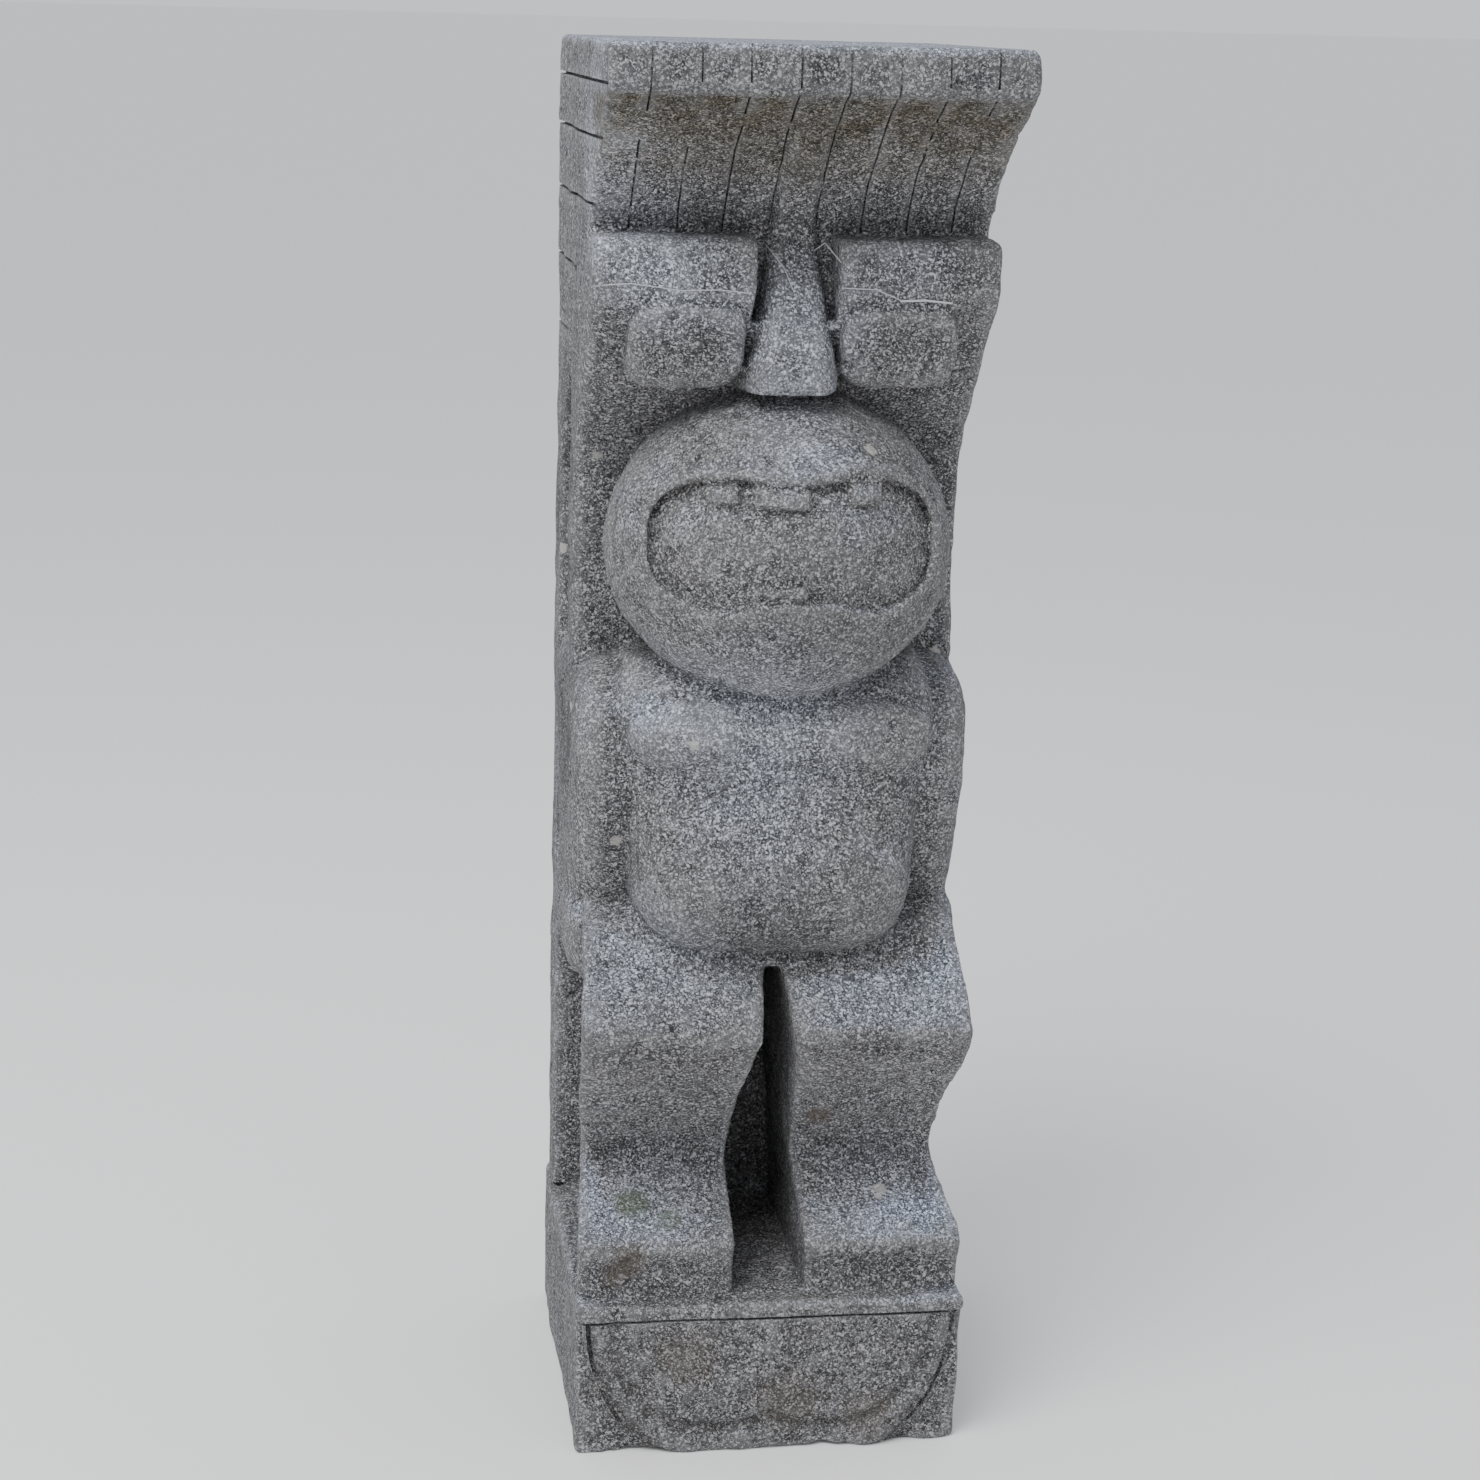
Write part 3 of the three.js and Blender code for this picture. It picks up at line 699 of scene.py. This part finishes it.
def thread_line(tree, corners):
    way = []
    for (x0, z0), (x1, z1) in zip(corners, corners[1:]):
        way += [
            (x0 + (x1 - x0) * i / THREAD_STEPS, z0 + (z1 - z0) * i / THREAD_STEPS)
            for i in range(THREAD_STEPS)
        ]
    way.append(corners[-1])
    first, last = face_depth(tree, *way[0]), face_depth(tree, *way[-1])
    line = []
    for i, (across, up) in enumerate(way):
        tight = first + (last - first) * i / (len(way) - 1)
        line.append(place(across, max(tight, face_depth(tree, across, up)) + THREAD_LIFT, up))
    return line


skin_tree = BVHTree.FromObject(stone, bpy.context.evaluated_depsgraph_get())
threads = [
    saw_row("thread", thread_line(skin_tree, corners), 1, 0, thick, thick, wander=1.2)
    for thick, corners in THREADS
]
stone_points = len(stone.data.vertices)
with bpy.context.temp_override(active_object=stone, object=stone,
                               selected_editable_objects=[stone] + threads):
    bpy.ops.object.join()
print("threads:", len(stone.data.vertices) - stone_points, "points")

# %% [markdown]
# ## Where rain reaches, and where it doesn't
# Rain keeps the open faces blue-grey, and they are painted paler as well, which is painted light
# from above; sheltered places are painted a little lighter and warmer, which lifts their shade. A
# few rays from each point towards the sky tell how open it is. The result is kept as a number on
# each point, beside one for worn edges and the painted shade of hollows, one for darkening the foot
# block's grooves and one for the threads. The material reads them all, so that the colours follow
# this shape.

# %% Measure shelter and edges
def sky_rays():
    rays = []
    for tilt, count in ((20, 2), (45, 4), (66, 6)):
        for i in range(count):
            turn = 2 * math.pi * (i + 0.3) / count
            rays.append(Vector((
                math.sin(math.radians(tilt)) * math.cos(turn),
                math.sin(math.radians(tilt)) * math.sin(turn),
                math.cos(math.radians(tilt)),
            )))
    return rays


def openness(thing):
    tree = BVHTree.FromPolygons(
        [v.co.copy() for v in carved.data.vertices],
        [tuple(p.vertices) for p in carved.data.polygons],
    )
    rays = sky_rays()
    seen = np.zeros(len(thing.data.vertices))
    normals_here = [Vector(n) for n in read_normals(thing)]
    for index, vertex in enumerate(thing.data.vertices):
        normal = normals_here[index]
        start = vertex.co + normal * 0.006
        total = 0.0
        for ray in rays:
            facing = normal.dot(ray)
            if facing > 0 and tree.ray_cast(start, ray, 0.9)[0] is None:
                total += 0.4 + 0.6 * facing
        seen[index] = total / len(rays)
    return seen


def keep_number(thing, name, values):
    layer = thing.data.attributes.new(name, "FLOAT", "POINT")
    layer.data.foreach_set("value", values.astype(np.float32))


net = read_edges(stone)
here = read_points(stone)
proud = -np.sum((smoothed(here, net, 6) - here) * read_normals(stone), axis=1)
broad = -np.sum((smoothed(here, net, 40) - here) * read_normals(stone), axis=1)
# The broad term spreads the paling of worn edges and the painted shade of hollows over wide forms.
edge_wear_and_hollow_shade = smoothed((proud + 0.2 * broad)[:, None], net, 1)[:, 0]
open_sky = openness(stone)
open_sky = smoothed(open_sky[:, None], net, 4)[:, 0]
keep_number(stone, "edge_wear_and_hollow_shade", np.clip(edge_wear_and_hollow_shade / 1.5, -1, 1))
keep_number(stone, "open_sky", np.clip(open_sky, 0, 1))
x, z = here[:, 0], here[:, 2]
on_foot = (BACK - here[:, 1] > 410) & (z < 153)
groove_darkening = np.where(on_foot, 0.9 * rim_band(x, z) + 0.7 * lobe_band(x, z), 0)
keep_number(stone, "groove_darkening", np.clip(groove_darkening, 0, 1))
keep_number(stone, "web", (np.arange(len(here)) >= stone_points).astype(float))
print("open sky from", open_sky.min().round(2), "to", open_sky.max().round(2))

# %% [markdown]
# ## Nodes with less writing
# A stone material has many nodes. Three small helpers keep them readable: one adds a node and sets
# or links its inputs, one does arithmetic, and one blends two colours. A socket may be given as a
# number, a colour or the output of another node.

# %% Helpers for materials
class Surface:
    def __init__(self, material):
        material.use_nodes = True
        self.tree = material.node_tree
        self.tree.nodes.clear()

    def node(self, kind, inputs=None, **settings):
        made = self.tree.nodes.new(kind)
        for key, value in settings.items():
            setattr(made, key, value)
        for key, value in (inputs or {}).items():
            if isinstance(value, bpy.types.NodeSocket):
                self.tree.links.new(value, made.inputs[key])
            else:
                made.inputs[key].default_value = value
        return made

    def math(self, operation, a, b=0.0, clamp=False):
        return self.node("ShaderNodeMath", {0: a, 1: b}, operation=operation,
                         use_clamp=clamp).outputs[0]

    def between(self, value, low, high, start=0.0, end=1.0):
        return self.node("ShaderNodeMapRange", {
            "Value": value, "From Min": low, "From Max": high,
            "To Min": start, "To Max": end}).outputs["Result"]

    def blend(self, amount, a, b, mode="MIX"):
        made = self.node("ShaderNodeMix", data_type="RGBA", blend_type=mode)
        for socket, value in ((made.inputs[0], amount), (made.inputs[6], a), (made.inputs[7], b)):
            if isinstance(value, bpy.types.NodeSocket):
                self.tree.links.new(value, socket)
            else:
                socket.default_value = value
        return made.outputs[2]

    def noise(self, where, scale, detail=2.0, roughness=0.5):
        return self.node("ShaderNodeTexNoise", {
            "Vector": where, "Scale": scale, "Detail": detail,
            "Roughness": roughness}).outputs["Fac"]

    def cells(self, where, scale, output="Color"):
        return self.node("ShaderNodeTexVoronoi", {"Vector": where, "Scale": scale}).outputs[output]


def grey(level, blue=0.0):
    return (level, level, level * (1 + blue), 1)


print("helpers ready")

# %% [markdown]
# ## The stone's colour
# Andesite is a grey ground full of small crystals: white feldspar and near-black hornblende, one to
# three millimetres across. Cells of noise give each crystal its own place, and a random number per
# cell decides whether it is white, dark or ground. Over that lie slow changes of tone, the rain's
# blue-grey, the brown of sheltered places, worn edges and streaks on the sawn sides, and painted
# light and shade: paler open faces, darker hollows and a darker hollow under the slab.

# %% Crystals and ground
surface = Surface(STONE)
where = surface.node("ShaderNodeTexCoord").outputs["Object"]
jitter = surface.node("ShaderNodeTexNoise", {"Vector": where, "Scale": 380.0, "Detail": 1.0})
shake = surface.node("ShaderNodeVectorMath", {0: jitter.outputs["Color"], "Scale": 0.0018},
                     operation="SCALE").outputs[0]
shaken = surface.node("ShaderNodeVectorMath", {0: where, 1: shake}, operation="ADD").outputs[0]


def crystal_number(scale):
    colour = surface.cells(shaken, scale)
    return surface.node("ShaderNodeSeparateColor", {"Color": colour}).outputs["Red"]


slow = surface.noise(where, 7.0, 3.0, 0.6)
patch = surface.noise(where, 38.0, 4.0, 0.62)
ground = surface.blend(surface.between(slow, 0.3, 0.7), grey(0.064, 0.04), grey(0.108, 0.04))
ground = surface.blend(surface.between(patch, 0.38, 0.68), ground, grey(0.152, 0.04))
coarse = crystal_number(430.0)
fine = crystal_number(780.0)
dark_part = surface.between(coarse, 0.26, 0.21)
ground = surface.blend(surface.math("MULTIPLY", dark_part, 0.85), ground, grey(0.03))
dark_fine = surface.between(fine, 0.25, 0.2)
ground = surface.blend(surface.math("MULTIPLY", dark_fine, 0.7), ground, grey(0.035))
white_fine = surface.between(fine, 0.76, 0.82)
ground = surface.blend(surface.math("MULTIPLY", white_fine, 0.75), ground, grey(0.41, 0.04))
white_part = surface.between(coarse, 0.89, 0.93)
ground = surface.blend(surface.math("MULTIPLY", white_part, 0.85), ground, grey(0.46, 0.04))
print("crystal nodes:", len(surface.tree.nodes))

# %% [markdown]
# ## Weather, painted light and painted shade on the stone
# The numbers measured above now steer the colour, and part of it is painted light and shade: open
# faces are painted paler, sheltered places a little lighter, hollows darker. A little noise breaks
# their edges, so that no tone ends on a clean line. The hollow under the slab has an olive-brown
# film and painted shade, the deepest just below the slab, and the grooves of the foot block are
# darkened.

# %% Rain, painted light and shade, edges and streaks
def stored(name):
    return surface.node("ShaderNodeAttribute", attribute_name=name).outputs["Fac"]


rough_noise = surface.noise(where, 22.0, 5.0, 0.65)
sky = surface.math("ADD", stored("open_sky"),
                   surface.between(rough_noise, 0.0, 1.0, -0.12, 0.12))
# Sheltered places are painted a little lighter and warmer: the warmth is the brown of sheltered
# places, the lightening is painted light that lifts their shade.
shelter = surface.between(sky, 0.22, 0.03)
colour = surface.blend(surface.math("MULTIPLY", shelter, 0.85), ground, (1.2, 1.18, 1.14, 1),
                       "MULTIPLY")
# Open, upward faces get the rain's blue-grey and are painted paler: painted light from above.
washed_and_top_lit = surface.between(sky, 0.39, 0.6)
colour = surface.blend(washed_and_top_lit, colour, (1.56, 1.71, 1.98, 1), "MULTIPLY")
spot = surface.node("ShaderNodeSeparateXYZ", {"Vector": where})
# The hollow under the slab is painted darker and olive-brown, darkest just below the slab: partly an
# olive-brown film, partly painted shade.
film_and_shade_under_slab = surface.math(
    "MULTIPLY", surface.between(spot.outputs["Z"], 1.29, 1.43, 0.25, 1.0),
    surface.math("MULTIPLY", surface.between(spot.outputs["Z"], 1.456, 1.448),
                 surface.between(spot.outputs["Y"], -0.1, -0.15)))
film_and_shade_under_slab = surface.math("MULTIPLY", film_and_shade_under_slab, surface.between(rough_noise, 0.3, 0.6, 0.35, 1.0))
colour = surface.blend(surface.math("MULTIPLY", film_and_shade_under_slab, 0.95), colour, (0.46, 0.4, 0.29, 1),
                       "MULTIPLY")
worn_edges_and_shaded_hollows = stored("edge_wear_and_hollow_shade")
colour = surface.blend(surface.between(worn_edges_and_shaded_hollows, 0.15, 0.9, 0.0, 0.22), colour, grey(0.3))
# Hollows and creases are painted darker: partly dirt, partly painted shade.
colour = surface.blend(surface.between(worn_edges_and_shaded_hollows, -0.2, -1.1, 0.0, 0.22), colour,
                       (0.045, 0.043, 0.038, 1))
# The grooves of the foot block are darkened.
colour = surface.blend(surface.math("MULTIPLY", stored("groove_darkening"), 0.55), colour,
                       (0.04, 0.038, 0.034, 1))
normal = surface.node("ShaderNodeNewGeometry").outputs["Normal"]
parts = surface.node("ShaderNodeSeparateXYZ", {"Vector": normal})
sideways = surface.between(surface.math("ABSOLUTE", parts.outputs["X"]), 0.75, 0.92)
drawn = surface.node("ShaderNodeMapping", {"Vector": where, "Scale": (90.0, 90.0, 7.0)}).outputs[0]
streak = surface.noise(drawn, 1.0, 3.0, 0.6)
streak_dark = surface.math("MULTIPLY", surface.between(streak, 0.52, 0.66), sideways)
colour = surface.blend(surface.math("MULTIPLY", streak_dark, 0.5), colour, (0.05, 0.052, 0.05, 1))
print("weather nodes:", len(surface.tree.nodes))

# %% [markdown]
# ## Darker patches, painted shade and painted light, brown stains, moss and lichen
# Broad darker patches, two of them painted shade, broad pale patches of painted light, small brown
# stains, two thin patches of moss and a few pale crusts of lichen are listed one by one; the stains,
# moss and lichen are where they are by chance. Distance to a place gives a disc, and noise frays its
# rim. The broad patches multiply the colour, so that the grain stays.

# %% Growths, painted light and painted shade on the stone
LICHEN = [
    # x, depth, z, radius, strength
    (-207, 72, 937, 7, 0.7), (-186, 247, 1068, 6, 0.6), (-212, 281, 801, 7, 0.85),
    (-96, 408, 790, 8, 0.6), (-168, 330, 666, 7, 0.55), (-106, 388, 684, 5, 0.6),
    (-106, 412, 486, 7, 0.45), (131, 343, 263, 9, 0.6), (128, 352, 258, 6, 0.6),
    (150, 380, 700, 5, 0.5), (-120, 300, 1060, 5, 0.5), (60, 428, 70, 6, 0.5),
    (77, 414, 1098, 8, 0.6), (190, 245, 852, 7, 0.8), (84, 410, 770, 6, 0.4),
]
MOSS = [(-146, 352, 258, 22, 0.5), (-109, 375, 248, 18, 0.4)]
# Darker patches. The one on the lower part of the muzzle's ball and the one below the navel are
# painted shade; the others darken the left side and the slab's front.
DARK_AND_SHADE_PATCHES = [
    (-207, 150, 1050, 95, 0.5), (-207, 170, 935, 90, 0.5), (-207, 110, 1130, 60, 0.4),
    (-207, 60, 1000, 110, 0.3), (-214, 200, 770, 130, 0.45), (0, 400, 925, 110, 0.42),
    (0, 410, 580, 90, 0.4), (-150, 545, 1476, 95, 0.3), (0, 545, 1476, 95, 0.3),
    (150, 545, 1476, 95, 0.3),
]
# Painted light: pale patches brighten the brows, nose, top of the muzzle's ball, chest, belly,
# thighs, foot tops and the left side of the headdress.
PAINTED_LIGHT_PATCHES = [
    (-135, 408, 1280, 85, 0.75), (110, 408, 1290, 70, 0.3), (-30, 400, 815, 150, 0.55),
    (0, 395, 1220, 90, 0.6), (0, 420, 1110, 80, 0.4), (-10, 410, 680, 110, 0.2),
    (-290, 430, 1390, 160, 0.9), (-120, 350, 255, 80, 0.35), (130, 350, 255, 80, 0.35),
    (-110, 350, 560, 90, 0.35),
]
BROWN = [(-153, 406, 212, 26, 0.5), (-168, 404, 196, 18, 0.4), (63, 324, 347, 20, 0.6),
         (20, 425, 60, 45, 0.25), (-90, 428, 110, 40, 0.25), (110, 428, 40, 35, 0.25)]
GROWTHS_STAINS_AND_PAINTED_LIGHT = (
    (DARK_AND_SHADE_PATCHES, (0.4, 0.42, 0.42, 1), 0.3, "MULTIPLY"), (PAINTED_LIGHT_PATCHES, (1.9, 2.02, 2.24, 1), 0.2, "MULTIPLY"),
    (BROWN, (0.1, 0.078, 0.055, 1), 0.5, "MIX"), (MOSS, (0.075, 0.1, 0.045, 1), 0.75, "MIX"),
    (LICHEN, (0.47, 0.45, 0.42, 1), 0.75, "MIX"),
)
fray = surface.between(surface.noise(where, 240.0, 3.0, 0.6), 0.0, 1.0, -0.7, 0.7)


def disc(x, depth, z, radius, strength, full):
    away = surface.node("ShaderNodeVectorMath", {0: where, 1: place(x, depth, z)},
                        operation="DISTANCE").outputs["Value"]
    share = surface.math("DIVIDE", away, radius * MM)
    return surface.between(surface.math("ADD", share, fray), 1.0, full, 0.0, strength)


for places, tone, full, mode in GROWTHS_STAINS_AND_PAINTED_LIGHT:
    for listed_patch in places:
        colour = surface.blend(disc(*listed_patch, full), colour, tone, mode)
colour = surface.blend(surface.math("MULTIPLY", stored("web"), 0.9), colour, (0.6, 0.61, 0.64, 1))
print("growths:", sum(len(places) for places, *rest in GROWTHS_STAINS_AND_PAINTED_LIGHT))

# %% [markdown]
# ## Grain that catches the light
# Crystals stand proud or have fallen out, so the surface is gritty at the size of its grains. The
# mesh carries everything above six millimetres, and a bump carries the rest: grains, fine pits and
# chisel scratches. Stone has no gloss to speak of, so the shader stays rough.

# %% Bump and shader
grain = surface.noise(where, 420.0, 2.0, 0.6)
lumps = surface.noise(where, 120.0, 4.0, 0.6)
pocks = surface.between(surface.cells(shaken, 140.0, "Distance"), 0.05, 0.32)
height = surface.math("MULTIPLY", grain, 0.8)
height = surface.math("ADD", height, surface.math("MULTIPLY", lumps, 1.4))
height = surface.math("ADD", height, surface.math("MULTIPLY", pocks, 0.55))
height = surface.math("ADD", height, surface.math("MULTIPLY", coarse, 0.35))
bump = surface.node("ShaderNodeBump", {"Height": height, "Strength": 0.9, "Distance": 0.0018})
shader = surface.node("ShaderNodeBsdfPrincipled", {
    "Base Color": colour, "Roughness": 0.93, "Specular IOR Level": 0.22,
    "Normal": bump.outputs["Normal"]})
surface.node("ShaderNodeOutputMaterial", {"Surface": shader.outputs[0]})
stone.data.materials.clear()
stone.data.materials.append(STONE)
print("material nodes:", len(surface.tree.nodes))

# %% [markdown]
# ## Hand the stone over
# The stone takes the place of the plain solid in the frame and rides on the same body.

# %% Stone in the frame
stone.name = "carved_stone"
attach(stone, "root")
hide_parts("tiki_statue")
print("stone spans", [round(v, 3) for v in stone.dimensions])

# %% [markdown]
# ## Floor, light and camera
# The stage is plain: a pale floor, a large soft light from above, in front and to the left, and an
# even, faintly blue sky. The camera stands at eye height, level with the statue's top and a little
# to its left, and looks down at it as in the photo.

# %% Floor
REACH = 600
corners = [(-REACH, -REACH, 0), (REACH, -REACH, 0), (REACH, REACH, 0), (-REACH, REACH, 0)]
floor = mesh_object("floor", corners, faces=[(0, 1, 2, 3)])
FLOOR = bpy.data.materials.new("pale floor")
paint = Surface(FLOOR)
matt = paint.node("ShaderNodeBsdfPrincipled", {
    "Base Color": (0.9, 0.9, 0.895, 1), "Roughness": 0.9, "Specular IOR Level": 0.1})
paint.node("ShaderNodeOutputMaterial", {"Surface": matt.outputs[0]})
floor.data.materials.append(FLOOR)


def soft_light(name, where_to, aim, size, power, tint):
    lamp = bpy.data.lights.new(name, "AREA")
    lamp.shape = "DISK"
    lamp.size = size
    lamp.energy = power
    lamp.color = tint
    made = bpy.data.objects.new(name, lamp)
    made.location = where_to
    made.rotation_euler = (Vector(aim) - Vector(where_to)).to_track_quat("-Z", "Y").to_euler()
    bpy.context.scene.collection.objects.link(made)


soft_light("sky light", (-2.1, -2.2, 4.9), (0, 0, 0.7), 3.4, 240, (1.0, 1.0, 1.0))
world = bpy.data.worlds.new("studio")
world.use_nodes = True
world.node_tree.nodes["Background"].inputs["Color"].default_value = (0.93, 0.95, 1.0, 1)
world.node_tree.nodes["Background"].inputs["Strength"].default_value = 0.92
bpy.context.scene.world = world
print("lights set")

# %% Camera
YAW = math.radians(8.466)
PITCH = math.radians(13.627)
ROLL = math.radians(1.498)
FOCAL_PIXELS = 3000.134
IMAGE_PIXELS = 1480
SENSOR = 36
EYE = (-0.494, -3.136, 1.528)
ahead = Vector((math.sin(YAW) * math.cos(PITCH), math.cos(YAW) * math.cos(PITCH), -math.sin(PITCH)))
level = Vector((math.cos(YAW), -math.sin(YAW), 0))
upward = level.cross(ahead)
right = math.cos(ROLL) * level + math.sin(ROLL) * upward
top = -math.sin(ROLL) * level + math.cos(ROLL) * upward
lens = bpy.data.cameras.new("camera")
lens.sensor_fit = "HORIZONTAL"
lens.sensor_width = SENSOR
lens.lens = FOCAL_PIXELS / IMAGE_PIXELS * SENSOR
camera = bpy.data.objects.new("camera", lens)
camera.matrix_world = Matrix.Translation(EYE) @ Matrix((right, top, -ahead)).transposed().to_4x4()
bpy.context.scene.collection.objects.link(camera)
bpy.context.scene.camera = camera
print("lens:", round(lens.lens, 2), "mm")

# %% [markdown]
# ## Check the size and finish
# The dressed part must still fill the solid's own box.

# %% Sizes and finish
def plain(bounds):
    return [[float(v) for v in corner] for corner in bounds]
